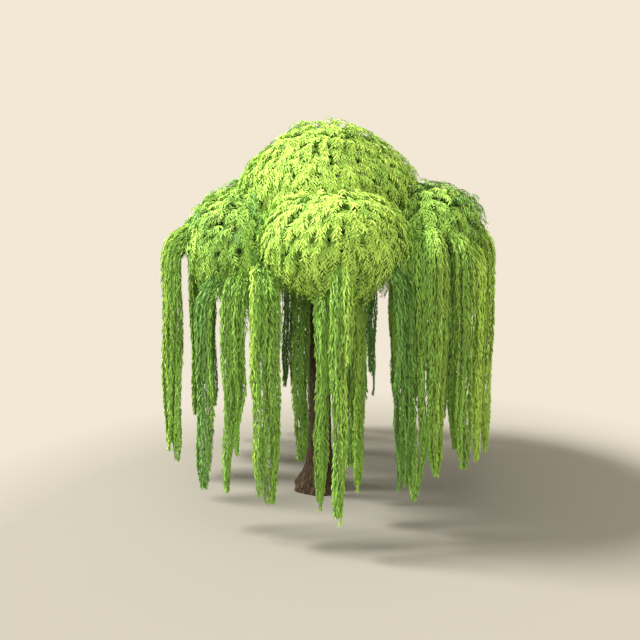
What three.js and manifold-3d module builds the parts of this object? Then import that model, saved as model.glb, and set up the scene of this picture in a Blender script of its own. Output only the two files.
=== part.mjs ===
// A weeping willow rooted in level ground: a flared trunk that forks below its foliage, boughs that
// rise from the fork, rounded masses of leaves at their ends, and curtains of hanging shoots.
// Millimetres and degrees; +Z is up, -Y is the front, and the origin is at the middle of the trunk's foot.
import * as THREE from "three";
import { mergeVertices } from "three/addons/utils/BufferGeometryUtils.js";
import Module from "manifold-3d";

const wasm = await Module();
wasm.setup();

// ---- Driving dimensions ----

const GAP = 0.3; // clearance between pieces that touch
const UP = new THREE.Vector3(0, 0, 1);

const TRUNK = {
  height: 6650,        // ground to fork
  footRadius: 440,     // before the root flare is added
  forkRadius: 335,
  flare: 450,          // how far the roots spread past the stem at the ground
  flareHeight: 400,    // height over which the flare dies away
  roots: 5,            // ridges round the foot
  rootDepth: 0.3,      // share of the flare that the ridges rise and fall by
  taper: 3,            // how soon the foot narrows to the fork's radius
  lean: [-40, 0, 15],  // sideways place of the foot, of half way up and of the fork
  sides: 12,
  steps: 8,
  crowding: 1.5,       // above 1, sections stand closer together towards the foot
};

// Rounded masses of leaves. turn and out give the middle's bearing (counter-clockwise from +X) and its
// distance from the origin, and up its height. wide and deep are half the size along X and Y, and tall and
// drop the size above and below the middle. power is 2 for a plain ellipsoid and lower for a pointed one, and
// fine is how often each facet of the ball is divided.
const MASSES = [
  { name: "mass_top", turn: 0, out: 200, up: 10020,
    wide: 2900, deep: 2700, tall: 2050, drop: 1250, power: 1.6, fine: 3, seed: 3 },
  { name: "mass_front", turn: -81, out: 2430, up: 8820,
    wide: 2150, deep: 2050, tall: 1500, drop: 1450, power: 2, fine: 2, seed: 5 },
  { name: "mass_front_left", turn: -156, out: 2460, up: 8480,
    wide: 1720, deep: 1750, tall: 1690, drop: 1700, power: 2, fine: 2, seed: 8 },
  { name: "mass_right", turn: -5, out: 3300, up: 8850,
    wide: 1700, deep: 1700, tall: 1500, drop: 1350, power: 1.8, fine: 2, seed: 11 },
  { name: "mass_left", turn: 161, out: 2750, up: 8350,
    wide: 1700, deep: 1550, tall: 1500, drop: 1250, power: 1.9, fine: 2, seed: 14 },
  { name: "mass_back_left", turn: 127, out: 2750, up: 8750,
    wide: 1700, deep: 1800, tall: 1600, drop: 1300, power: 2, fine: 2, seed: 17 },
  { name: "mass_back", turn: 82, out: 2750, up: 8650,
    wide: 1900, deep: 1800, tall: 1500, drop: 1400, power: 2, fine: 2, seed: 20 },
  { name: "mass_back_right", turn: 39, out: 2900, up: 8550,
    wide: 1700, deep: 1700, tall: 1450, drop: 1300, power: 2, fine: 2, seed: 23 },
];
const MASS_BUMPS = 11;        // swellings and hollows on each mass
const MASS_BUMP_RISE = 0.1;   // their height, as a share of the radius
const MASS_BUMP_SPREAD = 7;   // higher is narrower
const MASS_ROUGHNESS = 0.035; // how far each corner stands in or out, as a share of the radius

// Boughs rise from the trunk at height "from", as tapering limbs, into the mass that each one carries.
const BOUGHS = [
  { name: "bough_leader", mass: "mass_top", from: 6650, root: 250, tip: 150 },
  { name: "bough_front", mass: "mass_front", from: 6330, root: 205, tip: 115 },
  { name: "bough_front_left", mass: "mass_front_left", from: 6180, root: 195, tip: 105 },
  { name: "bough_right", mass: "mass_right", from: 6420, root: 210, tip: 115 },
  { name: "bough_left", mass: "mass_left", from: 6420, root: 180, tip: 100 },
  { name: "bough_back_left", mass: "mass_back_left", from: 6240, root: 175, tip: 100 },
  { name: "bough_back", mass: "mass_back", from: 6450, root: 190, tip: 105 },
  { name: "bough_back_right", mass: "mass_back_right", from: 6230, root: 185, tip: 105 },
];
const BOUGH_SIDES = 6;
const BOUGH_STEPS = 5;
const BOUGH_ARCH = 0.36; // how far along the reach the limb has risen half way

// Curtains of hanging shoots. Each one leaves its mass, arches outwards and hangs plumb at turn and out, and
// up is how far above the mass's middle the arch starts. Its strands are [sideways, outwards, foot height,
// width, lean], the first two measured from the curtain's middle. A lean moves the foot sideways.
const CURTAINS = [
  { mass: "mass_left", turn: -170, out: 4560, up: 650,
    strands: [[-60, 170, 1800, 540], [120, 30, 1250, 680]] },
  { mass: "mass_front_left", turn: -141, out: 4400, up: -600,
    strands: [[40, 70, 1400, 440], [170, 10, 1180, 620]] },
  { mass: "mass_front_left", turn: -127, out: 4250, up: -500,
    strands: [[-70, 40, 1350, 320], [190, -30, 2900, 520]] },
  { mass: "mass_front_left", turn: -111, out: 4150, up: -400,
    strands: [[-230, 60, 1600, 460], [60, 0, 1080, 640]] },
  { mass: "mass_front", turn: -88, out: 4050, up: -400,
    strands: [[0, 0, 1200, 440, -160]] },
  { mass: "mass_front", turn: -83, out: 4600, up: 150,
    strands: [[-60, 0, 900, 420], [110, 50, 5900, 460]] },
  { mass: "mass_front", turn: -59, out: 4380, up: 0,
    strands: [[-120, 0, 1850, 520], [180, 20, 1650, 600]] },
  { mass: "mass_right", turn: -48, out: 4400, up: 100,
    strands: [[290, 40, 1950, 680], [-250, -40, 1050, 720]] },
  { mass: "mass_right", turn: -26, out: 4500, up: 250,
    strands: [[110, 200, 1440, 620], [-110, -60, 2300, 620]] },
  { mass: "mass_right", turn: -9, out: 4950, up: 250,
    strands: [[-40, -30, 1090, 700], [250, -70, 2500, 480]] },
  { mass: "mass_right", turn: 6, out: 5360, up: 150,
    strands: [[0, 90, 900, 520], [260, -80, 2300, 460]] },
  { mass: "mass_right", turn: 19, out: 4850, up: 0,
    strands: [[40, 90, 1190, 500], [390, -20, 1900, 420]] },
  { mass: "mass_back_right", turn: 32, out: 4750, up: 100,
    strands: [[-230, 30, 1500, 620], [230, -40, 1150, 640]] },
  { mass: "mass_back_right", turn: 45, out: 4700, up: 0,
    strands: [[-210, 0, 1250, 640], [270, 40, 1900, 560]] },
  { mass: "mass_back_right", turn: 54.5, out: 5000, up: -100,
    strands: [[-250, 60, 1200, 480], [160, 0, 2500, 440]] },
  { mass: "mass_back", turn: 69, out: 4950, up: 0,
    strands: [[-140, 0, 1500, 500], [150, 20, 1130, 520]] },
  { mass: "mass_back", turn: 87, out: 4800, up: 100,
    strands: [[-200, 0, 1500, 640], [160, 40, 1080, 660]] },
  { mass: "mass_back", turn: 104, out: 4600, up: 0,
    strands: [[-50, -60, 1500, 360], [190, 60, 1900, 400]] },
  { mass: "mass_back_left", turn: 116.5, out: 4800, up: 100,
    strands: [[-240, 0, 1700, 600], [160, 40, 1100, 640]] },
  { mass: "mass_back_left", turn: 136, out: 5300, up: 0,
    strands: [[0, 60, 1200, 520], [340, -60, 2400, 460]] },
  { mass: "mass_back_left", turn: 151, out: 4800, up: 0,
    strands: [[-250, 0, 1350, 620], [240, 60, 1800, 560]] },
  { mass: "mass_left", turn: 171, out: 4850, up: 100,
    strands: [[-250, 20, 1700, 560], [170, 60, 1150, 620]] },
  { mass: "mass_left", turn: 164, out: 3050, up: -500,
    strands: [[0, 0, 1250, 480]] },
  { mass: "mass_back_left", turn: 148, out: 3250, up: -500,
    strands: [[0, 0, 1200, 480]] },
  { mass: "mass_front", turn: -132, out: 900, up: -700,
    strands: [[0, 0, 950, 690]] },
  { mass: "mass_front", turn: -57, out: 1750, up: -700,
    strands: [[0, 0, 1150, 460]] },
  { mass: "mass_front", turn: -67, out: 2800, up: -600,
    strands: [[0, 0, 1000, 680]] },
  { mass: "mass_back_right", turn: 38, out: 3240, up: -600,
    strands: [[0, 0, 2150, 560]] },
  { mass: "mass_back", turn: 96, out: 2750, up: -600,
    strands: [[0, 0, 1250, 560]] },
];
const STRAND_SIDES = 4;
const STRAND_STEPS = 8;
const STRAND_START = 0.42;    // where the arch begins, from the mass's middle (0) to the plumb line (1)
const STRAND_BEND = 1000;     // height over which the arch turns down
const STRAND_SPLAY = 1.045;   // how much further from the tree's middle a strand's foot is than its elbow
const STRAND_THICKNESS = 0.6; // thickness as a share of width
const STRAND_JITTER = 0.24;   // how much the width rises and falls along a strand
const STRAND_TAPER = 5;       // the width closes over the last 1 / taper of the length
const STRAND_POINT = 0.04;    // width left at the very tip, as a share
const STRAND_SWAY = 80;       // how far a strand wanders off the plumb line

const BARK = { color: 0x5a4738, roughness: 0.95, metalness: 0 };
const LEAF_ROUGHNESS = 0.8;
const LEAF_COLORS = {
  mass_top: 0x9fc04c, mass_front: 0x9cbd4a, mass_front_left: 0x7da03f, mass_right: 0x6f9638,
  mass_left: 0x93b345, mass_back_left: 0x6a8f38, mass_back: 0x6f9638, mass_back_right: 0x668b36,
  curtain: 0x64893a,
};

// ---- Shared helpers ----

function bearing(turn, out, up) {
  const angle = THREE.MathUtils.degToRad(turn);
  return new THREE.Vector3(out * Math.cos(angle), out * Math.sin(angle), up);
}

// Repeatable random numbers from 0 to 1 (mulberry32).
function seededRandom(seed) {
  let state = seed * 7919 + 17;
  return () => {
    state = (state + 0x6d2b79f5) | 0;
    let mixed = Math.imul(state ^ (state >>> 15), 1 | state);
    mixed = (mixed + Math.imul(mixed ^ (mixed >>> 7), 61 | mixed)) ^ mixed;
    return ((mixed ^ (mixed >>> 14)) >>> 0) / 4294967296;
  };
}

// A unit-sized three.js shape with its shared vertices merged, so that moving them keeps it closed.
function closedShape(geometry) {
  geometry.deleteAttribute("normal");
  geometry.deleteAttribute("uv");
  return mergeVertices(geometry, 1e-4);
}

// Moves every vertex of a closed shape by a rule that takes and returns a Vector3.
function reshape(shape, rule) {
  const places = shape.attributes.position;
  for (let index = 0; index < places.count; index += 1) {
    const moved = rule(new THREE.Vector3().fromBufferAttribute(places, index));
    places.setXYZ(index, moved.x, moved.y, moved.z);
  }
  return shape;
}

function toSolid(shape) {
  return new wasm.Manifold(new wasm.Mesh({
    numProp: 3,
    vertProperties: new Float32Array(shape.attributes.position.array),
    triVerts: new Uint32Array(shape.index.array),
  }));
}

function boxesMeet(first, second) {
  const a = first.boundingBox();
  const b = second.boundingBox();
  return [0, 1, 2].every((axis) => a.min[axis] < b.max[axis] && b.min[axis] < a.max[axis]);
}

// Cuts a solid back from each of its neighbours' grown copies and keeps its largest piece.
function cutBack(solid, neighbours) {
  let rest = solid;
  for (const neighbour of neighbours) {
    if (boxesMeet(rest, neighbour)) rest = rest.subtract(neighbour);
  }
  const pieces = rest.decompose();
  pieces.sort((a, b) => b.volume() - a.volume());
  return pieces[0];
}

function toMesh(name, solid, finish) {
  const { vertProperties, triVerts } = solid.getMesh();
  const geometry = new THREE.BufferGeometry();
  geometry.setAttribute("position", new THREE.BufferAttribute(vertProperties, 3));
  geometry.setIndex(new THREE.BufferAttribute(triVerts, 1));
  geometry.computeVertexNormals();
  const mesh = new THREE.Mesh(geometry, new THREE.MeshStandardMaterial({ flatShading: true, ...finish }));
  mesh.name = name;
  return mesh;
}

// ---- Trunk ----

// Level sections from the flat foot to the flat fork; the flare swells into ridges over the roots.
function trunkSolid(grow = 0) {
  const { height, footRadius, forkRadius, flare, flareHeight, roots, rootDepth, taper, lean } = TRUNK;
  const axis = new THREE.QuadraticBezierCurve(
    new THREE.Vector2(lean[0], 0), new THREE.Vector2(2 * lean[1] - (lean[0] + lean[2]) / 2, height / 2),
    new THREE.Vector2(lean[2], height));
  const shape = closedShape(new THREE.CylinderGeometry(1, 1, 1, TRUNK.sides, TRUNK.steps));
  reshape(shape, ({ x, y, z }) => {
    const rise = (y + 0.5) ** TRUNK.crowding;
    const level = rise * height;
    const ridge = 1 + rootDepth * Math.cos(roots * Math.atan2(z, x));
    const spread = flare * ridge * Math.exp(-level / flareHeight);
    const stem = forkRadius + (footRadius - forkRadius) * Math.exp(-taper * rise);
    const radius = stem + spread + grow;
    const top = level >= height ? height + grow : level;
    return new THREE.Vector3(axis.getPoint(rise).x + x * radius, -z * radius, top);
  });
  return toSolid(shape);
}

// ---- Masses of leaves ----

// A ball of facets drawn out to the mass's own sizes, with swellings and hollows all round.
function massSolid(mass, grow = 0) {
  const random = seededRandom(mass.seed);
  const bumps = Array.from({ length: MASS_BUMPS }, () => ({
    toward: new THREE.Vector3(2 * random() - 1, 2 * random() - 1, 2 * random() - 1).normalize(),
    rise: MASS_BUMP_RISE * (2 * random() - 1),
  }));
  const middle = bearing(mass.turn, mass.out, mass.up);
  const shape = closedShape(new THREE.IcosahedronGeometry(1, mass.fine));
  reshape(shape, (direction) => {
    const tall = direction.z > 0 ? mass.tall : mass.drop;
    const shares = [direction.x / mass.wide, direction.y / mass.deep, direction.z / tall];
    const sum = shares.reduce((total, share) => total + Math.abs(share) ** mass.power, 0);
    let swell = 1 + MASS_ROUGHNESS * (2 * random() - 1);
    for (const { toward, rise } of bumps) {
      swell += rise * Math.exp(MASS_BUMP_SPREAD * (direction.dot(toward) - 1));
    }
    return direction.multiplyScalar(sum ** (-1 / mass.power) * swell + grow).add(middle);
  });
  return toSolid(shape);
}

// ---- Limbs and strands ----

// A cylinder bent along a curve that stays in one upright plane. sideways is the level direction across that
// plane, and section gives the half width, half thickness and sideways shift at each share of the length.
// grow thickens the whole shape and lengthens its ends by that much.
function bent(curve, sideways, sides, steps, section, grow) {
  const shape = closedShape(new THREE.CylinderGeometry(1, 1, 1, sides, steps));
  reshape(shape, ({ x, y, z }) => {
    const share = y + 0.5;
    const along = curve.getTangent(share);
    const outward = new THREE.Vector3().crossVectors(sideways, along).normalize();
    const { width, thickness, shift = 0 } = section(share);
    const lengthen = (share === 1) - (share === 0);
    return curve.getPoint(share).addScaledVector(along, lengthen * grow)
      .addScaledVector(sideways, shift + x * (width + grow)).addScaledVector(outward, z * (thickness + grow));
  });
  return toSolid(shape);
}

// The level direction square to the way from one point to another.
function levelAcross(from, to) {
  return new THREE.Vector3().subVectors(to, from).setZ(0).normalize().applyAxisAngle(UP, Math.PI / 2);
}

// A bough springs from inside the trunk, rises steeply and leans out into its mass.
function boughSolid(bough, mass, grow = 0) {
  const root = new THREE.Vector3(TRUNK.lean[2], 0, bough.from);
  const end = bearing(mass.turn, mass.out, mass.up);
  const bend = new THREE.Vector3().lerpVectors(root, end, BOUGH_ARCH);
  bend.z = THREE.MathUtils.lerp(root.z, end.z, 0.5);
  const curve = new THREE.QuadraticBezierCurve3(root, bend, end);
  return bent(curve, levelAcross(root, end), BOUGH_SIDES, BOUGH_STEPS, (share) => {
    const radius = THREE.MathUtils.lerp(bough.root, bough.tip, share);
    return { width: radius, thickness: radius };
  }, grow);
}

// One strand of a curtain: a flattened tongue that arches out of its mass, hangs, and tapers to a point.
function strandSolid(curtain, mass, [sideways, outwards, foot, width, lean = 0], random, grow) {
  const middle = bearing(mass.turn, mass.out, mass.up);
  const plumb = bearing(curtain.turn, curtain.out, 0);
  const across = levelAcross(middle, plumb);
  const away = new THREE.Vector3().crossVectors(across, UP);
  const hang = plumb.clone().addScaledVector(across, sideways).addScaledVector(away, outwards);
  const shoulder = mass.up + curtain.up;
  const start = new THREE.Vector3().lerpVectors(middle, hang, STRAND_START).setZ(shoulder);
  const elbow = hang.clone().setZ(shoulder - STRAND_BEND);
  const path = new THREE.CurvePath();
  path.add(new THREE.QuadraticBezierCurve3(start, hang.clone().setZ(shoulder), elbow));
  const tip = hang.clone().multiplyScalar(STRAND_SPLAY).addScaledVector(across, lean).setZ(foot);
  path.add(new THREE.LineCurve3(elbow, tip));
  const rings = Array.from({ length: STRAND_STEPS + 1 }, () => ({
    width: 1 + STRAND_JITTER * (2 * random() - 1),
    sway: STRAND_SWAY * (2 * random() - 1),
  }));
  return bent(path, across, STRAND_SIDES, STRAND_STEPS, (share) => {
    const ring = rings[Math.round(share * STRAND_STEPS)];
    const half = (width / 2) * Math.min(1, STRAND_POINT + STRAND_TAPER * (1 - share)) * ring.width;
    return { width: half, thickness: half * STRAND_THICKNESS, shift: ring.sway };
  }, grow);
}

function curtainSolid(curtain, mass, seed, grow = 0) {
  const random = seededRandom(seed);
  const strands = curtain.strands.map((strand) => strandSolid(curtain, mass, strand, random, grow));
  return strands.reduce((joined, strand) => joined.add(strand));
}

// ---- The whole plant ----

const tree = new THREE.Group();
const massOf = Object.fromEntries(MASSES.map((mass) => [mass.name, mass]));
const taken = []; // grown copies of everything placed so far

MASSES.forEach((mass) => {
  const solid = cutBack(massSolid(mass), taken);
  tree.add(toMesh(mass.name, solid, { color: LEAF_COLORS[mass.name], roughness: LEAF_ROUGHNESS }));
  taken.push(massSolid(mass, GAP));
});

tree.add(toMesh("trunk", trunkSolid(), BARK));
taken.push(trunkSolid(GAP));

BOUGHS.forEach((bough) => {
  const mass = massOf[bough.mass];
  tree.add(toMesh(bough.name, cutBack(boughSolid(bough, mass), taken), BARK));
  taken.push(boughSolid(bough, mass, GAP));
});

CURTAINS.forEach((curtain, index) => {
  const mass = massOf[curtain.mass];
  const name = `curtain_${String(index + 1).padStart(2, "0")}`;
  const solid = cutBack(curtainSolid(curtain, mass, index + 1), taken);
  tree.add(toMesh(name, solid, { color: LEAF_COLORS.curtain, roughness: LEAF_ROUGHNESS }));
  taken.push(curtainSolid(curtain, mass, index + 1, GAP));
});

export default tree;
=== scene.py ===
import math

import bmesh
import bpy
import numpy as np
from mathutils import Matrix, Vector, noise
from mathutils.bvhtree import BVHTree


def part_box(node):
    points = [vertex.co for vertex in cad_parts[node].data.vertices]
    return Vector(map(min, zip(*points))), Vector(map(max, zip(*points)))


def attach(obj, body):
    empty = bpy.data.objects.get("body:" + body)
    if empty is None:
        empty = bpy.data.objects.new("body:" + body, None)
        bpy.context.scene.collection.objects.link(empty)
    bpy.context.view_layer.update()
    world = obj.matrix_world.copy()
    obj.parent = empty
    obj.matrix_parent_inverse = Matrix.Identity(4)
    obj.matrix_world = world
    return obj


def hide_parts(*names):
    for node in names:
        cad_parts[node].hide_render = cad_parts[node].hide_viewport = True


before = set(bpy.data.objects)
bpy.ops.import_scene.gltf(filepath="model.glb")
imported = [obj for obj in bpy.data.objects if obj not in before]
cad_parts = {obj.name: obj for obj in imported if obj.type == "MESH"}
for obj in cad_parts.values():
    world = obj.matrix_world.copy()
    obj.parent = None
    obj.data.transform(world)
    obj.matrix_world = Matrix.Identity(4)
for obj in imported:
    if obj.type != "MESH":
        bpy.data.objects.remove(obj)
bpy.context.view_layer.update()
scene = bpy.context.scene

# ---- Camera ----
# A long lens stands off in front of the tree and looks a little down on it, so that the domes of the crown
# overlap and the ground shows under the hanging shoots.

AIM_HEIGHT = 5.763
STAND_OFF = 27.23
LOOK_DOWN = math.radians(15)
FOCAL_LENGTH = 47.8    # millimetres
FAR_LIMIT = 500

lens = bpy.data.cameras.new("camera")
lens.lens = FOCAL_LENGTH
lens.clip_end = FAR_LIMIT
camera = bpy.data.objects.new("camera", lens)
camera.location = (0, -STAND_OFF * math.cos(LOOK_DOWN), AIM_HEIGHT + STAND_OFF * math.sin(LOOK_DOWN))
camera.rotation_euler = (math.pi / 2 - LOOK_DOWN, 0, 0)
scene.collection.objects.link(camera)
scene.camera = camera

# ---- Daylight and ground ----
# Soft cream daylight from all round, and a warm sun high on the tree's left whose shadow falls to the right.
# The ground is a pale level disc that fades into the sky's colour far out, so that no horizon shows.

SKY = (0.887, 0.807, 0.665, 1)
GROUND = (0.246, 0.236, 0.208, 1)
GROUND_RADIUS = 90
FADE_MIDDLE = (2, -7, 0)
FADE_FROM = 12.2
FADE_TO = 16.5
SUN_STRENGTH = 7.4
SUN_COLOR = (1.0, 0.97, 0.90)
SUN_SPREAD = 16        # this and the heights and bearings are in degrees
SUN_HEIGHT = 47
SUN_BEARING = 176
FILL_STRENGTH = 1.5
FILL_COLOR = (1.0, 1.0, 1.0)
FILL_SPREAD = 100
FILL_HEIGHT = 50
FILL_BEARING = 250


class Flow:
    """A socket in a node tree. Arithmetic on it adds Math nodes, and node() adds any other node."""

    def __init__(self, tree, socket=None):
        self.tree = tree
        self.socket = socket

    def node(self, kind, output, settings, inputs):
        made = self.tree.nodes.new(kind)
        for name, value in settings.items():
            if name == "stops":
                ramp = made.color_ramp
                for place, color in value:
                    stop = ramp.elements.new(place)
                    stop.color = color
                ramp.elements.remove(ramp.elements[0])
                ramp.elements.remove(ramp.elements[-1])
            else:
                setattr(made, name, value)
        for name, value in inputs.items():
            if isinstance(value, Flow):
                self.tree.links.new(value.socket, made.inputs[name])
            else:
                made.inputs[name].default_value = value
        return Flow(self.tree, made.outputs[output]) if output is not None else None

    def math(self, operation, first, second=0.0):
        return self.node("ShaderNodeMath", 0, {"operation": operation}, {0: first, 1: second})

    def __add__(self, other):
        return self.math("ADD", self, other)

    __radd__ = __add__

    def __sub__(self, other):
        return self.math("SUBTRACT", self, other)

    def __rsub__(self, other):
        return self.math("SUBTRACT", other, self)

    def __mul__(self, other):
        return self.math("MULTIPLY", self, other)

    __rmul__ = __mul__

    def clamped(self, low, high):
        """0 at low, 1 at high, and level outside."""
        return self.node("ShaderNodeMapRange", 0, {}, {"Value": self, "From Min": low, "From Max": high})


def new_finish(name):
    """A material with an empty node tree, and the Flow that adds nodes to it."""
    material = bpy.data.materials.new(name)
    material.use_nodes = True
    material.node_tree.nodes.clear()
    return material, Flow(material.node_tree)


world = bpy.data.worlds.new("daylight")
world.use_nodes = True
world.node_tree.nodes["Background"].inputs["Color"].default_value = SKY
world.node_tree.nodes["Background"].inputs["Strength"].default_value = 1.0
scene.world = world
scene.view_settings.view_transform = "Standard"


def far_light(name, energy, color, spread, bearing, height):
    """A light from far off in one direction, spread over an angle of sky, all in degrees."""
    light = bpy.data.objects.new(name, bpy.data.lights.new(name, "SUN"))
    light.data.energy = energy
    light.data.color = color
    light.data.angle = math.radians(spread)
    light.rotation_euler = (0, math.radians(90 - height), math.radians(bearing))
    scene.collection.objects.link(light)


far_light("sun", SUN_STRENGTH, SUN_COLOR, SUN_SPREAD, SUN_BEARING, SUN_HEIGHT)
far_light("bright_sky", FILL_STRENGTH, FILL_COLOR, FILL_SPREAD, FILL_BEARING, FILL_HEIGHT)

ground_shape = bmesh.new()
bmesh.ops.create_circle(ground_shape, cap_ends=True, segments=96, radius=GROUND_RADIUS)
ground_mesh = bpy.data.meshes.new("ground")
ground_shape.to_mesh(ground_mesh)
ground_shape.free()
ground_finish, add = new_finish("ground")
place = add.node("ShaderNodeTexCoord", "Object", {}, {})
distance = add.node("ShaderNodeVectorMath", "Value", {"operation": "DISTANCE"}, {0: place, 1: FADE_MIDDLE})
matt = add.node("ShaderNodeBsdfPrincipled", 0, {}, {
    "Base Color": GROUND, "Roughness": 1.0, "Specular IOR Level": 0.0,
})
glow = add.node("ShaderNodeEmission", 0, {}, {"Color": SKY, "Strength": 1.0})
faded = add.node("ShaderNodeMixShader", 0, {}, {0: distance.clamped(FADE_FROM, FADE_TO), 1: matt, 2: glow})
add.node("ShaderNodeOutputMaterial", None, {}, {"Surface": faded})
ground_mesh.materials.append(ground_finish)
ground = bpy.data.objects.new("ground", ground_mesh)
scene.collection.objects.link(ground)

# ---- Trunk and boughs ----
# One old stem, flared over its roots and forked into eight rising limbs, all under thick furrowed bark.
# The limbs are run together at the fork, then the bark is raised in long ridges that follow the wood.

BOUGHS = sorted(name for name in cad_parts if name.startswith("bough_"))
FOOT_BAND = 0.01       # corners lower than this belong to the flat cut at the ground
FLARE_DEPTH = 0.3      # the flare goes on below the ground by this much until the stem is cut off level
FLARE_ONWARD = 1.28    # and widens this much more
CUT_HEIGHT = 0.001
OVERLAP = 0.012        # the limbs are swollen by this much, so that they run into the stem
BARK_GRAIN = 0.026     # size of the bark mesh's faces
RIDGE_HEIGHT = 0.03
RIDGE_SIZE = 0.13      # width of a ridge
RIDGE_STRETCH = 0.14   # a ridge's width as a share of its length
RIDGE_WANDER = 0.12    # how far a ridge strays sideways
STEM_RADIUS = 0.45     # the ridges are spaced as on a stem of this radius
RIDGE_LEVEL = 1.2      # the ridge pattern's middle value
RIDGE_SHARE = 0.6      # shares of the ridges and of broad swellings in the bark's relief
SWELL_SHARE = 0.5

limb_shape = bmesh.new()
for node in ["trunk", *BOUGHS]:
    limb_shape.from_mesh(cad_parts[node].data)
bmesh.ops.remove_doubles(limb_shape, verts=limb_shape.verts, dist=1e-5)
for corner in limb_shape.verts:
    if corner.co.z < FOOT_BAND:
        corner.co = (corner.co.x * FLARE_ONWARD, corner.co.y * FLARE_ONWARD, -FLARE_DEPTH)
bmesh.ops.subdivide_edges(limb_shape, edges=limb_shape.edges, cuts=2, use_grid_fill=True)
for _ in range(3):
    bmesh.ops.smooth_vert(limb_shape, verts=limb_shape.verts, factor=0.5, use_axis_x=True, use_axis_y=True)
limb_shape.normal_update()
for corner in limb_shape.verts:
    corner.co += corner.normal * OVERLAP
limb_mesh = bpy.data.meshes.new("bark")
limb_shape.to_mesh(limb_mesh)
limb_shape.free()
bark = bpy.data.objects.new("bark", limb_mesh)
scene.collection.objects.link(bark)
melt = bark.modifiers.new("melt", "REMESH")
melt.mode = "VOXEL"
melt.voxel_size = BARK_GRAIN
settle = bark.modifiers.new("settle", "SMOOTH")
settle.factor = 0.6
settle.iterations = 6
bark.data = bpy.data.meshes.new_from_object(bark.evaluated_get(bpy.context.evaluated_depsgraph_get()))
bark.modifiers.clear()

bark_shape = bmesh.new()
bark_shape.from_mesh(bark.data)
for corner in bark_shape.verts:
    spot = corner.co
    around = Vector((spot.x, spot.y, 0)).normalized() * STEM_RADIUS
    wander = noise.noise(spot * 1.3) * RIDGE_WANDER
    along_wood = around + Vector((wander, wander, spot.z * RIDGE_STRETCH))
    ridge = noise.ridged_multi_fractal(along_wood / RIDGE_SIZE, 1.0, 2.1, 3, 1.0, 2.0)
    swell = noise.noise(spot * 2.2)
    corner.co += corner.normal * RIDGE_HEIGHT * (RIDGE_SHARE * (ridge - RIDGE_LEVEL) + SWELL_SHARE * swell)
cut = bmesh.ops.bisect_plane(
    bark_shape, geom=[*bark_shape.verts, *bark_shape.edges, *bark_shape.faces],
    plane_co=(0, 0, CUT_HEIGHT), plane_no=(0, 0, 1), clear_inner=True,
)
rim = [part for part in cut["geom_cut"] if isinstance(part, bmesh.types.BMEdge)]
bmesh.ops.contextual_create(bark_shape, geom=rim)
bark_shape.to_mesh(bark.data)
bark_shape.free()
bark.data.shade_smooth()

bark_finish, add = new_finish("furrowed_bark")
place = add.node("ShaderNodeTexCoord", "Object", {}, {})
level_place = add.node("ShaderNodeVectorMath", 0, {"operation": "MULTIPLY"}, {0: place, 1: (1, 1, 0)})
around = add.node("ShaderNodeVectorMath", 0, {"operation": "NORMALIZE"}, {0: level_place})
outer = add.node("ShaderNodeVectorMath", 0, {"operation": "SCALE"}, {0: around, "Scale": STEM_RADIUS})
grain = add.node("ShaderNodeVectorMath", 0, {"operation": "MULTIPLY_ADD"}, {
    0: place, 1: (0, 0, RIDGE_STRETCH), 2: outer,
})
swirl = add.node("ShaderNodeTexNoise", "Color", {}, {"Vector": place, "Scale": 2.2, "Detail": 2})
twisted = add.node("ShaderNodeVectorMath", 0, {"operation": "MULTIPLY_ADD"}, {
    0: swirl, 1: (0.16, 0.16, 0.03), 2: grain,
})
furrows = add.node("ShaderNodeTexNoise", 0, {}, {
    "Vector": twisted, "Scale": 26, "Detail": 6, "Roughness": 0.6,
})
plates = add.node("ShaderNodeTexVoronoi", 0, {"feature": "DISTANCE_TO_EDGE"}, {
    "Vector": twisted, "Scale": 17,
})
patches = add.node("ShaderNodeTexNoise", 0, {}, {"Vector": place, "Scale": 2.5, "Detail": 3})
dust = add.node("ShaderNodeTexNoise", 0, {}, {"Vector": place, "Scale": 60, "Detail": 4})
# The bark is darkest down in its furrows and lightest on its ridges: partly its own colour, partly painted
# shade in the furrows.
raised = furrows.clamped(0.32, 0.66) * 0.45 + plates.clamped(0.0, 0.22) * 0.55
tone = raised * 0.75 + dust * 0.25
bark_and_furrow_shade = add.node("ShaderNodeValToRGB", 0, {"stops": [
    (0.15, (0.010, 0.006, 0.003, 1)),
    (0.42, (0.035, 0.022, 0.012, 1)),
    (0.72, (0.068, 0.045, 0.026, 1)),
    (0.95, (0.100, 0.072, 0.044, 1)),
]}, {"Fac": tone})
mossy = add.node("ShaderNodeMix", "Result", {"data_type": "RGBA"}, {
    "Factor": patches.clamped(0.52, 0.8) * 0.3, "A": bark_and_furrow_shade, "B": (0.070, 0.075, 0.032, 1),
})
relief = add.node("ShaderNodeBump", 0, {}, {
    "Height": raised + dust * 0.12, "Strength": 0.8, "Distance": 0.03,
})
surface = add.node("ShaderNodeBsdfPrincipled", 0, {}, {
    "Base Color": mossy, "Roughness": 0.95 - raised * 0.15, "Normal": relief, "Specular IOR Level": 0.2,
})
add.node("ShaderNodeOutputMaterial", None, {}, {"Surface": surface})
bark.data.materials.clear()
bark.data.materials.append(bark_finish)
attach(bark, "root")
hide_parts("trunk", *BOUGHS)

# ---- Limbs and twigs inside the masses ----
# Each bough goes on into its mass and forks again and again, thinner each time, until every small group of
# leafy sprays and every curtain of hanging shoots has its own twig.

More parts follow.
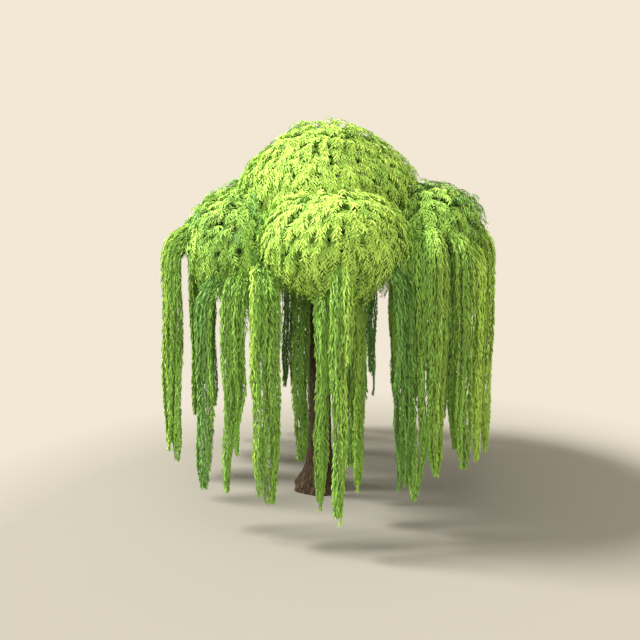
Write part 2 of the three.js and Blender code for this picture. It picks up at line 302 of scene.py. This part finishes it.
MASSES = sorted(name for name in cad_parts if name.startswith("mass_"))
CURTAINS = sorted(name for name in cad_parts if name.startswith("curtain_"))
SPRAY_SPACING = 0.22
GROUP_SIZE = 0.62
GROUP_DEPTH = 0.5
BURIED = 0.3           # a mass's skin with another mass this close in front of it bears no sprays
CURTAIN_LOAD = 14      # sprays' worth of wood that a curtain's twig carries
LIMB_OVERLAP = 0.15    # how far back in its bough a limb starts
BOUGH_END = 0.12       # the corners of a bough this close to its far end are its tip
ARCH_BAND = 0.6        # the top of a curtain, as deep as this, is its arch
ARCH_END = 0.15        # and the corners of the arch this close to its inner end are the curtain's root
TWIG_RADIUS = 0.006
LOAD_POWER = 0.42      # how a limb's radius rises with the twigs it carries
FORK_REACH = 0.42      # share of the way to its twigs at which a limb forks
LIMB_POINTS = 4
LIMB_TAPER = 0.84
TRIES = 12             # places tried on a mass's skin for each spray that is kept
ROOT_INSET = 0.35      # how far into its mass a curtain's twig ends
LIMB_SIDES = ((8, 0.045, 1), (5, 0.016, 0.045), (3, 0, 0.016))   # sides, and the radii they are for
random = np.random.default_rng(11)


def unit(vectors):
    """The same directions, one long."""
    return vectors / np.maximum(np.linalg.norm(vectors, axis=-1, keepdims=True), 1e-9)


def node_triangles(name):
    """The corners of a node's triangles, as triangles x 3 x 3."""
    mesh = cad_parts[name].data
    mesh.calc_loop_triangles()
    corners = np.empty(len(mesh.vertices) * 3)
    mesh.vertices.foreach_get("co", corners)
    order = np.empty(len(mesh.loop_triangles) * 3, dtype=np.int32)
    mesh.loop_triangles.foreach_get("vertices", order)
    return corners.reshape(-1, 3)[order].reshape(-1, 3, 3)


def surface_tree(names):
    """A search tree over several nodes' triangles."""
    corners = np.concatenate([node_triangles(name) for name in names]).reshape(-1, 3)
    faces = np.arange(len(corners)).reshape(-1, 3)
    return BVHTree.FromPolygons(corners.tolist(), faces.tolist())


def skin_points(name, spacing):
    """Evenly scattered points on a mass where it is open to the air, and the way out at each."""
    triangles = node_triangles(name)
    crossed = np.cross(triangles[:, 1] - triangles[:, 0], triangles[:, 2] - triangles[:, 0])
    areas = np.linalg.norm(crossed, axis=1) / 2
    count = int(areas.sum() / spacing ** 2 * TRIES)
    picked = random.choice(len(triangles), count, p=areas / areas.sum())
    first, second = random.random((2, count, 1))
    over = first + second > 1
    first = np.where(over, 1 - first, first)
    second = np.where(over, 1 - second, second)
    chosen = triangles[picked]
    points = chosen[:, 0] + first * (chosen[:, 1] - chosen[:, 0]) + second * (chosen[:, 2] - chosen[:, 0])
    outward = unit(crossed[picked])
    _, kept = np.unique(np.floor(points / spacing).astype(int), axis=0, return_index=True)
    others = surface_tree([other for other in MASSES if other != name])
    open_ones = [
        index for index in kept
        if others.ray_cast(Vector(points[index]), Vector(outward[index]), BURIED)[0] is None
    ]
    middle = points.mean(axis=0)
    rounded = unit(outward[open_ones] + unit(points[open_ones] - middle))
    return points[open_ones], rounded


def grow(grown, start, heading, ends, loads):
    """Adds a limb from start to part way towards its ends, forks it, and goes on to each end."""
    radius = TWIG_RADIUS * loads.sum() ** LOAD_POWER
    middle = np.average(ends, axis=0, weights=loads)
    alone = len(ends) == 1
    tip = middle if alone else start + (middle - start) * FORK_REACH + random.normal(0, 0.03, 3)
    reach = np.linalg.norm(tip - start)
    bend = start + heading * reach * 0.5 + random.normal(0, 0.04, 3) * reach
    share = np.linspace(0, 1, LIMB_POINTS)[:, None]
    path = (1 - share) ** 2 * start + 2 * share * (1 - share) * bend + share ** 2 * tip
    grown.append((path, radius))
    if alone:
        return
    spread = ends - ends.mean(axis=0)
    widest = np.linalg.svd(spread, full_matrices=False)[2][0]
    along = spread @ widest
    split = along > np.median(along)
    for half in (split, ~split):
        if half.any():
            grow(grown, tip, unit(tip - bend), ends[half], loads[half])


def round_stems(paths, radii, sides):
    """Tapering stems with closed ends, from stems x points x 3 places and stems x points radii."""
    count, length = radii.shape
    along = unit(np.gradient(paths, axis=1))
    chord = np.abs(paths[:, -1] - paths[:, 0])
    level = np.eye(3)[np.argmin(chord, axis=1)]
    across = unit(np.cross(along, level[:, None]))
    upward = np.cross(along, across)
    turn = 2 * math.pi * np.arange(sides) / sides
    ring = across[:, :, None] * np.cos(turn)[:, None] + upward[:, :, None] * np.sin(turn)[:, None]
    points = (paths[:, :, None] + ring * radii[:, :, None, None]).reshape(-1, 3)
    here = np.arange(sides)
    after = (here + 1) % sides
    lower = np.arange(length - 1)[:, None] * sides
    walls = np.stack([
        np.stack([lower + here, lower + after, lower + sides + after], axis=-1),
        np.stack([lower + here, lower + sides + after, lower + sides + here], axis=-1),
    ]).reshape(-1, 3)
    fan = np.stack([np.zeros(sides - 2, int), np.arange(1, sides - 1), np.arange(2, sides)], axis=-1)
    top = fan + (length - 1) * sides
    stem = np.concatenate([walls, fan[:, ::-1], top])
    faces = (np.arange(count)[:, None, None] * length * sides + stem).reshape(-1, 3)
    return points, faces


def joined(parts):
    """Several (points, faces) pairs as one."""
    shift = np.cumsum([0] + [len(points) for points, _ in parts[:-1]])
    points = np.concatenate([points for points, _ in parts])
    faces = np.concatenate([faces + step for (_, faces), step in zip(parts, shift)])
    return points, faces


def many_faced_piece(name, points, faces, finishes, dealt, replaced=()):
    """One piece from arrays of points and triangles, with each triangle's place in the list of finishes."""
    mesh = bpy.data.meshes.new(name)
    mesh.vertices.add(len(points))
    mesh.vertices.foreach_set("co", points.astype(np.float32).ravel())
    mesh.loops.add(faces.size)
    mesh.loops.foreach_set("vertex_index", faces.astype(np.int32).ravel())
    mesh.polygons.add(len(faces))
    mesh.polygons.foreach_set("loop_start", np.arange(0, faces.size, 3, dtype=np.int32))
    for finish in finishes:
        mesh.materials.append(finish)
    mesh.polygons.foreach_set("material_index", np.broadcast_to(dealt, len(faces)).astype(np.int32))
    mesh.update(calc_edges=True)
    mesh.shade_smooth()
    piece = bpy.data.objects.new(name, mesh)
    scene.collection.objects.link(piece)
    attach(piece, "root")
    if replaced:
        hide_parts(*replaced)


def plain_finish(name, color, roughness):
    """One even colour, for leaves and thin twigs."""
    material, add = new_finish(name)
    surface = add.node("ShaderNodeBsdfPrincipled", 0, {}, {
        "Base Color": (*color, 1), "Roughness": roughness, "Specular IOR Level": 0.2,
    })
    add.node("ShaderNodeOutputMaterial", None, {}, {"Surface": surface})
    return material


mass_points = {}
mass_outward = {}
mass_groups = {}
group_ends = {}
for name in MASSES:
    points, outward = skin_points(name, SPRAY_SPACING)
    cells = np.floor(points / GROUP_SIZE).astype(int)
    _, group = np.unique(cells, axis=0, return_inverse=True)
    group = group.ravel()
    size = np.bincount(group)[:, None]
    inner = points - outward * GROUP_DEPTH
    ends = np.stack([np.bincount(group, inner[:, axis]) for axis in range(3)], axis=1) / size
    mass_points[name] = points
    mass_outward[name] = outward
    mass_groups[name] = group
    group_ends[name] = ends

mass_trees = {name: surface_tree([name]) for name in MASSES}
mass_middles = {name: node_triangles(name).reshape(-1, 3).mean(axis=0) for name in MASSES}
curtain_masses = {}
curtain_roots = {}
for name in CURTAINS:
    corners = node_triangles(name).reshape(-1, 3)
    top = corners[:, 2].max()
    upper = corners[corners[:, 2] > top - ARCH_BAND]
    near = {mass: min(mass_trees[mass].find_nearest(Vector(spot))[3] for spot in upper) for mass in MASSES}
    mass = min(near, key=near.get)
    middle = mass_middles[mass]
    gaps = np.linalg.norm(upper[:, :2] - middle[:2], axis=1)
    root = upper[gaps < gaps.min() + ARCH_END].mean(axis=0)
    inward = middle[:2] - root[:2]
    root[:2] += inward * min(0.5, ROOT_INSET / max(np.linalg.norm(inward), 0.01))
    curtain_masses[name] = mass
    curtain_roots[name] = root

grown = []
for name in MASSES:
    bough = name.replace("mass_", "bough_")
    bough = bough if bough in BOUGHS else "bough_leader"
    middle = mass_middles[name]
    corners = node_triangles(bough).reshape(-1, 3)
    gaps = np.linalg.norm(corners - middle, axis=1)
    start = corners[gaps < gaps.min() + BOUGH_END].mean(axis=0)
    heading = unit(middle - start)
    roots = np.array([curtain_roots[curtain] for curtain in CURTAINS if curtain_masses[curtain] == name])
    size = np.bincount(mass_groups[name])
    ends = np.concatenate([group_ends[name], roots.reshape(-1, 3)])
    loads = np.concatenate([size, np.full(len(roots), CURTAIN_LOAD)])
    grow(grown, start - heading * LIMB_OVERLAP, heading, ends, loads.astype(float))

twig_parts = []
for sides, low, high in LIMB_SIDES:
    chosen = [(path, radius) for path, radius in grown if low <= radius < high]
    paths = np.array([path for path, _ in chosen])
    radii = np.array([radius for _, radius in chosen])[:, None] * np.linspace(1.0, LIMB_TAPER, LIMB_POINTS)
    twig_parts.append(round_stems(paths, radii, sides))
points, faces = joined(twig_parts)
twig_finish = plain_finish("twig_bark", (0.13, 0.10, 0.055), 0.85)
many_faced_piece("limbs_and_twigs", points, faces, [twig_finish], 0)

# ---- Leafy sprays of the masses ----
# Thin shoots that arch out of the crown and droop over it, set with narrow willow leaves folded along the
# midrib. They overlap like thatch. The top and front masses get the lightest, yellowest leaves and the
# right and back ones darker: partly young growth at the top, partly painted light on the lit top and front
# and painted shade on the right and back.

LEAF_ROUGHNESS = 0.65
LEAF_COLORS = {
    "lime": (0.50, 0.74, 0.125),
    "fresh": (0.40, 0.64, 0.105),
    "spring": (0.31, 0.55, 0.090),
    "mid": (0.225, 0.43, 0.070),
    "sage": (0.17, 0.37, 0.080),
    "olive": (0.235, 0.37, 0.055),
    "deep": (0.115, 0.25, 0.040),
}
leaf_finishes = [plain_finish(f"leaf_{name}", color, LEAF_ROUGHNESS) for name, color in LEAF_COLORS.items()]

# Shares lean to light colours on the top and front masses and to dark ones on the right and back: painted
# light and painted shade, besides young growth at the top.
MASS_SHARES = {   # a mass's shares of lime, fresh, spring, mid, sage, olive, deep
    "mass_top": (5, 4, 1, 0, 0, 0, 0),
    "mass_front": (5, 4, 1, 0, 0, 0, 0),
    "mass_front_left": (0, 2, 5, 3, 1, 0, 0),
    "mass_right": (0, 1, 3, 5, 1, 1, 0),
    "mass_left": (1, 3, 4, 2, 0, 0, 0),
    "mass_back_left": (0, 0, 2, 4, 2, 1, 1),
    "mass_back": (0, 1, 3, 4, 1, 1, 0),
    "mass_back_right": (0, 1, 3, 4, 2, 1, 0),
}
SPRAY_LENGTH = (0.26, 0.6)
SPRAY_LEAVES = 13
SPRAY_FROM = 0.35      # share of a spray's length at which its leaves start
SPRAY_SIZES = (1.05, 0.75)   # size of the leaves at a spray's foot and at its tip
SPRAY_SPREAD = (0.2, 1.0)    # how far a spray turns aside on its way downhill
SPRAY_DROOP = 0.2      # how far a spray's tip hangs down, as a share of its length
SPRAY_RISE = 0.04      # how far the sprays stand out of their mass's skin
SPRAY_SCATTER = (-0.06, 0.04)   # and how much less or more one may stand out
SPRAY_STEM = (0.006, 0.0045, 0.002)   # radius of a spray's stem at its foot, middle and tip
STEM_SIDES = 3
TUFT_SIZE = 0.6        # the sprays stand out and in by tufts of about this size
TUFT_RISE = 0.1
LEAF_LENGTH = 0.22
LEAF_WIDTH = 0.042
LENGTH_SCATTER = (0.8, 1.1)
WIDTH_SCATTER = (0.85, 1.1)
VIGOUR = (0.8, 1.15)   # size of all the leaves of a spray
LEAF_RISE = 0.12       # how steeply a leaf may stand off the crown
OWN_COLOR = 0.5        # share of the sprays that have a colour of their own, not their group's
INNER_LEAVES = 3       # larger leaves near each spray's foot that close the crown, darker as painted shade
INNER_LENGTH = 0.34
INNER_WIDTH = 0.1
INNER_SPAN = (0.02, 0.32)    # where they stand, as shares of the spray's length
INNER_SHADE_STEP = 2         # how many colours darker they are, as painted shade inside the crown
LEAF_OUTLINE = (  # share of the length, of half the width, and the lift off the midrib
    (0.0, 0.0, 0.0), (0.3, 1.0, 0.32), (0.65, 0.72, 0.25), (1.0, 0.0, -0.6), (0.65, -0.72, 0.25),
    (0.3, -1.0, 0.32),
)
LEAF_FACETS = ((0, 2, 1), (0, 3, 2), (0, 4, 3), (0, 5, 4))


def leaves(base, along, face, length, width):
    """Leaves that spring from base and lie along a direction, with the upper side turned towards face."""
    along = unit(along)
    across = unit(np.cross(face, along))
    face = np.cross(along, across)
    outline = np.array(LEAF_OUTLINE)
    half = (width / 2)[:, None, None]
    points = (
        base[:, None]
        + along[:, None] * outline[:, :1] * length[:, None, None]
        + across[:, None] * outline[:, 1:2] * half
        + face[:, None] * outline[:, 2:] * half
    )
    facets = np.arange(len(base))[:, None, None] * len(outline) + np.array(LEAF_FACETS)
    return points.reshape(-1, 3), facets.reshape(-1, 3)


def curve_points(corners, shares):
    """Points at the given shares of cubic curves, from four lists of corners."""
    first, second, third, fourth = (corner[:, None] for corner in corners)
    share = shares[..., None]
    back = 1 - share
    outer = back ** 3 * first + 3 * back ** 2 * share * second
    return outer + 3 * back * share ** 2 * third + share ** 3 * fourth


down = np.array([0.0, 0.0, -1.0])
stem_parts = []
for name in MASSES:
    points = mass_points[name]
    outward = mass_outward[name]
    group = mass_groups[name]
    count = len(points)
    start = group_ends[name][group]

    # A spray starts at its twig inside the crown, comes out at its point of the skin and droops downhill.
    tuft = np.array([noise.noise(Vector(point) / TUFT_SIZE) for point in points])
    slope = down - outward * (outward @ down)[:, None]
    downhill = unit(slope)
    level = unit(np.cross(outward, random.normal(size=(count, 3))))
    level -= 2 * downhill * np.minimum((level * downhill).sum(axis=1, keepdims=True), 0)
    under = np.maximum(-outward[:, 2:], 0)
    away = unit(slope + level * random.uniform(*SPRAY_SPREAD, (count, 1)) + outward * 0.05 + down * under)
    length = random.uniform(*SPRAY_LENGTH, count)[:, None]
    out = TUFT_RISE * tuft + SPRAY_RISE + random.uniform(*SPRAY_SCATTER, count)
    lift = points + outward * out[:, None]
    end = lift + away * length + down * length * SPRAY_DROOP
    corners = (start, start + (lift - start) * 0.6, lift + away * length * 0.35 + outward * 0.04, end)
    stem_paths = curve_points(corners, np.array([[0.0, 0.55, 1.0]]))
    stem_parts.append(round_stems(stem_paths, np.tile(SPRAY_STEM, (count, 1)), STEM_SIDES))

    # Narrow leaves stand left and right of it by turns.
    share = random.uniform(-0.02, 0.02, (count, SPRAY_LEAVES))
    share = np.linspace(SPRAY_FROM, 1.0, SPRAY_LEAVES)[None, :] + share
    base = curve_points(corners, share)
    heading = unit(curve_points(corners, share + 0.02) - base)
    facing = outward[:, None] * np.ones((1, SPRAY_LEAVES, 1))
    beside = unit(np.cross(heading, facing))
    swing = np.where(np.arange(SPRAY_LEAVES) % 2 == 0, 1.0, -1.0)[None, :, None]
    loose = random.normal(size=base.shape)
    along = heading * 0.8 + beside * swing * 0.6 + down * 0.2 + loose * 0.14
    rising = (along * facing).sum(axis=-1, keepdims=True)
    along = along - facing * np.maximum(rising - LEAF_RISE, 0)
    face = unit(facing + random.normal(size=base.shape) * 0.24)
    vigour = random.uniform(*VIGOUR, (count, 1))
    shorter = np.linspace(*SPRAY_SIZES, SPRAY_LEAVES)
    length = LEAF_LENGTH * random.uniform(*LENGTH_SCATTER, base.shape[:2]) * shorter * vigour
    width = LEAF_WIDTH * random.uniform(*WIDTH_SCATTER, base.shape[:2]) * vigour
    outer_points, outer_faces = leaves(
        base.reshape(-1, 3), along.reshape(-1, 3), face.reshape(-1, 3), length.ravel(), width.ravel(),
    )
    shares = np.array(MASS_SHARES[name], float)
    shares /= shares.sum()
    own_color = random.choice(len(shares), count, p=shares)
    group_color = random.choice(len(shares), group.max() + 1, p=shares)[group]
    spray_color = np.where(random.random(count) < OWN_COLOR, own_color, group_color)

    # Larger leaves near its foot fill the crown, in darker colours as painted shade inside it.
    inner_share = random.uniform(*INNER_SPAN, (count, INNER_LEAVES))
    inner_base = curve_points(corners, inner_share).reshape(-1, 3)
    inner_face = np.repeat(outward, INNER_LEAVES, axis=0) + random.normal(size=inner_base.shape) * 0.3
    inner_along = np.cross(inner_face, random.normal(size=inner_base.shape))
    inner_count = len(inner_base)
    inner_length = INNER_LENGTH * random.uniform(*LENGTH_SCATTER, inner_count)
    inner_width = INNER_WIDTH * random.uniform(*LENGTH_SCATTER, inner_count)
    inner_points, inner_faces = leaves(inner_base, inner_along, inner_face, inner_length, inner_width)
    inner_shade_color = np.minimum(np.repeat(spray_color, INNER_LEAVES) + INNER_SHADE_STEP, len(LEAF_COLORS) - 1)
    leaf_points, leaf_faces = joined([(outer_points, outer_faces), (inner_points, inner_faces)])
    dealt = np.repeat(np.concatenate([np.repeat(spray_color, SPRAY_LEAVES), inner_shade_color]), len(LEAF_FACETS))
    piece_name = name.replace("mass_", "leaves_")
    many_faced_piece(piece_name, leaf_points, leaf_faces, leaf_finishes, dealt, [name])
points, faces = joined(stem_parts)
spray_finish = plain_finish("spray_stem", (0.30, 0.30, 0.10), 0.7)
many_faced_piece("spray_stems", points, faces, [spray_finish], 0)

# ---- Curtains of hanging shoots ----
# Whip-thin yellow-green shoots that arch out of the crown and hang almost to the ground in clumps, with
# leaves set all round them that point down and a little outwards.

SHOOT_SPACING = 0.05
SHOOT_SLICES = (0, 0.25, 0.5)   # shares of the drop at which a curtain is filled with shoots
CORE_DEPTH = 0.06      # shoots deeper in the curtain than this are thinned
CORE_SHARE = 0.35      # and this share of them is left
SHOOT_STEP = 0.3       # height between the places at which a shoot is steered
SHOOT_POINTS = 10
SHOOT_START = 0.42     # share of the way from the mass's middle to the plumb line at which an arch starts
SHOOT_RADII = (0.008, 0.0025)
BARE_DEPTH = 0.3       # a shoot has no leaves where it is deeper in its mass than this
CLUMP = 11             # shoots in a clump
CLUMPING = 0.06        # how far the shoots are drawn to the middle of their clump
CLOSING = 0.15         # and how much further at their tips
SWAY = 0.05            # how far a clump sways from side to side
SWAY_TURNS = 7         # how many radians of swaying there are on its way down
WANDER = 0.012         # and how far each shoot strays from its clump's line
LEAF_SPACING = 0.08
LEAF_SCATTER = 0.02
SHOOT_LENGTH_SCATTER = (0.75, 1.15)
SHOOT_WIDTH_SCATTER = (0.85, 1.15)
TIP_SHORTENING = 0.3   # how much shorter the leaves at a shoot's tip are
LEAF_SPAN = 0.05       # half the length of shoot that a leaf takes its direction from
SPLAY = 0.045          # how much further from the trunk a shoot's tip is than its bend, as a share
LEAVING = 0.15         # a shoot that would have to bend further than this to stay in its curtain ends
DRAWING = 0.8          # share of the way back to the curtain's skin that a shoot bends at each step
RETURNING = 0.9        # share of a bend that is left one step further down
TIP_RISE = 0.1         # how far above its clump's end a shoot ends at least
TIP_SCATTER = 0.45     # how widely the ends of a clump's shoots are scattered above that
ARCH_DROP = 0.2        # how far below its curtain's top the middle of the arch is
ARCH_THICKNESS = 0.17  # and how far the outermost shoots arch above the middle
ARCH_SCATTER = 0.03
ARCH_HEIGHT = 1.35     # how far below its curtain's top a shoot hangs plumb
ARCH_POINTS = 7
STRAY_TONES = 0.3      # share of the shoots that have a tone of their own, not their clump's
PIECE_FACES = 190000   # the leaves are dealt to pieces of at most this many triangles
CLUMP_ENDS = (0, 0.03, 0.08, 0.16, 0.28)   # how far up the curtain a clump ends, as a share
CLUMP_END_SHARES = (0.5, 0.2, 0.15, 0.1, 0.05)   # and how many of the clumps end there
PROBE = Vector((0.8, 0.6, 0.0))   # any level direction will do to tell inside from outside

CURTAIN_SHARES = {
    "lime": (9, 1, 0, 0, 0, 0, 0),
    "bright": (0, 2, 3, 4, 0, 1, 0),
    "mid": (0, 0, 2, 4, 3, 1, 1),
    "cool": (0, 0, 0, 2, 5, 0, 3),
    "dark": (0, 0, 0, 1, 4, 2, 3),
}
# The front and right-hand curtains get the lighter tones and those deep under the crown the dark one:
# painted light and painted shade, besides each curtain's own tint.
CURTAIN_TONES = {   # the other curtains are mid
    1: "bright", 2: "cool", 4: "bright", 5: "bright", 6: "bright", 7: "cool", 8: "bright", 9: "bright",
    10: "lime", 11: "lime", 16: "cool", 17: "dark", 18: "dark", 23: "dark", 24: "dark", 26: "dark",
    27: "bright", 28: "bright", 29: "dark",
}


def outside(tree, spot):
    """How far a place is outside a solid, below 0 for one inside, and the nearest place on its skin."""
    nearest, _, _, distance = tree.find_nearest(Vector(spot))
    inside = False
    crossing = tree.ray_cast(Vector(spot), PROBE)[0]
    while crossing is not None:
        inside = not inside
        crossing = tree.ray_cast(crossing + PROBE * 1e-4, PROBE)[0]
    return -distance if inside else distance, np.array(nearest)


def is_filled(tree, spot, drop):
    """Whether a shoot belongs at a spot: anywhere near the curtain's skin, and more thinly in its core."""
    places = [
        spot * (1 + SPLAY * share) * (1, 1, 0) + (0, 0, spot[2] - drop * share) for share in SHOOT_SLICES
    ]
    gap = min(outside(tree, place)[0] for place in places)
    return gap < 0 and (gap > -CORE_DEPTH or random.random() < CORE_SHARE)


def along_path(path, lengths, at):
    """Places at given distances along a path of points."""
    return np.stack([np.interp(at, lengths, path[:, axis]) for axis in range(3)], axis=1)


shoot_paths = []
shoot_leaf_parts = []
shoot_dealt = []
for number, name in enumerate(CURTAINS, start=1):
    tree = surface_tree([name])
    low, high = (np.array(corner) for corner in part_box(name))
    level = high[2] - ARCH_HEIGHT
    drop = level - low[2]
    middle = mass_middles[curtain_masses[name]]
    mass_tree = mass_trees[curtain_masses[name]]

    # The places where shoots hang plumb, and the clumps with one tone, end and sway that they fall into.
    across = np.arange(low[0], high[0], SHOOT_SPACING)
    deep = np.arange(low[1], high[1], SHOOT_SPACING)
    spots = np.stack(np.meshgrid(across, deep, level), axis=-1).reshape(-1, 3)
    spots[:, :2] += random.uniform(-0.5, 0.5, (len(spots), 2)) * SHOOT_SPACING
    spots = np.array([spot for spot in spots if is_filled(tree, spot, drop)])
    centres = random.permutation(spots)[:max(1, len(spots) // CLUMP)]
    clump_of = np.linalg.norm(spots[:, None] - centres[None], axis=2).argmin(axis=1)
    shares = np.array(CURTAIN_SHARES[CURTAIN_TONES.get(number, "mid")], float)
    clump_tones = random.choice(len(shares), len(centres), p=shares / shares.sum())
    clump_ends = low[2] + drop * random.choice(CLUMP_ENDS, len(centres), p=CLUMP_END_SHARES)
    corners = node_triangles(name).reshape(-1, 3)
    foot = corners[corners[:, 2].argmin()]
    clump_ends[np.linalg.norm(centres[:, :2] - foot[:2], axis=1).argmin()] = low[2]
    clump_sways = random.uniform(0, 2 * math.pi, (len(centres), 2))
    reaches = np.linalg.norm(spots[:, :2] - middle[:2], axis=1)
    shoulders = high[2] - ARCH_DROP + np.clip(reaches - reaches.mean(), -ARCH_THICKNESS, ARCH_THICKNESS)
    for spot, clump, shoulder in zip(spots, clump_of, shoulders):
        # A shoot is steered down from its bend, and drawn back wherever it leaves its curtain.
        centre = centres[clump]
        apart = (spot - centre) * (1 - CLUMPING)
        finish = clump_ends[clump] + TIP_RISE + random.uniform(0, TIP_SCATTER) ** 1.5
        line = []
        drawn = np.zeros(3)
        for height in np.arange(level, finish, -SHOOT_STEP):
            fallen = (level - height) / drop
            turn = clump_sways[clump] + fallen * SWAY_TURNS
            sway = np.array([*np.sin(turn), 0]) * SWAY * min(1, fallen * 4)
            place = (centre + apart * (1 - CLOSING * fallen)) * (1 + SPLAY * fallen) + sway + drawn
            place[2] = height
            gap, nearest = outside(tree, place)
            if gap > LEAVING and fallen > 0.1:
                break
            pull = (nearest - place) * (DRAWING, DRAWING, 0) if gap > 0 else np.zeros(3)
            drawn = (drawn + pull) * RETURNING
            line.append(place + pull + random.normal(0, WANDER, 3) * (1, 1, 0))

        # Above the bend it arches out of the mass.
        shoulder += random.uniform(-ARCH_SCATTER, ARCH_SCATTER)
        start = np.array([*(middle[:2] + (spot[:2] - middle[:2]) * SHOOT_START), shoulder])
        corner = np.array([*line[0][:2], shoulder])
        share = np.linspace(0, 1, ARCH_POINTS)[:-1, None]
        arch = (1 - share) ** 2 * start + 2 * share * (1 - share) * corner + share ** 2 * line[0]
        path = np.concatenate([arch, line])
        steps = np.linalg.norm(np.diff(path, axis=0), axis=1)
        lengths = np.concatenate([[0], np.cumsum(steps)])
        shoot_paths.append(along_path(path, lengths, lengths[-1] * np.linspace(0, 1, SHOOT_POINTS) ** 1.5))

        # It has leaves from where it comes out of the mass.
        bare = sum(outside(mass_tree, place)[0] < -BARE_DEPTH for place in arch)
        at = np.arange(lengths[bare] + 0.05, lengths[-1] + 0.02, LEAF_SPACING)
        at = at + random.uniform(-LEAF_SCATTER, LEAF_SCATTER, len(at))
        base = along_path(path, lengths, at)
        after = along_path(path, lengths, at + LEAF_SPAN)
        heading = unit(after - along_path(path, lengths, at - LEAF_SPAN))
        normals = np.array([tree.find_nearest(Vector(point))[1] for point in path])
        facing = along_path(normals, lengths, at)
        shoot_leaf_parts.append((base, heading, facing, at / lengths[-1]))
        tone = clump_tones[clump]
        if random.random() < STRAY_TONES:
            tone = random.choice(len(shares), p=shares / shares.sum())
        shoot_dealt.append(np.full(len(at), tone))

base, heading, facing, share = (np.concatenate(part) for part in zip(*shoot_leaf_parts))
dealt = np.concatenate(shoot_dealt)
count = len(base)
around = random.normal(size=(count, 3)) * (1, 1, 0.2)
away = unit(around * 0.8 + facing * (1, 1, 0.3) * 0.7)
along = heading * 0.9 + away * 0.32
face = unit(facing + random.normal(size=(count, 3)) * 0.4)
length = LEAF_LENGTH * random.uniform(*SHOOT_LENGTH_SCATTER, count) * (1.05 - TIP_SHORTENING * share)
width = LEAF_WIDTH * random.uniform(*SHOOT_WIDTH_SCATTER, count)
cut_count = math.ceil(count * len(LEAF_FACETS) / PIECE_FACES)
for part, rows in enumerate(np.array_split(np.arange(count), cut_count), start=1):
    points, faces = leaves(base[rows], along[rows], face[rows], length[rows], width[rows])
    many_faced_piece(
        f"curtain_leaves_{part}", points, faces, leaf_finishes, np.repeat(dealt[rows], len(LEAF_FACETS)),
    )
paths = np.array(shoot_paths)
radii = np.tile(np.linspace(*SHOOT_RADII, SHOOT_POINTS), (len(paths), 1))
points, faces = round_stems(paths, radii, STEM_SIDES)
shoot_finish = plain_finish("hanging_shoot", (0.26, 0.33, 0.09), 0.6)
many_faced_piece("hanging_shoots", points, faces, [shoot_finish], 0, CURTAINS)
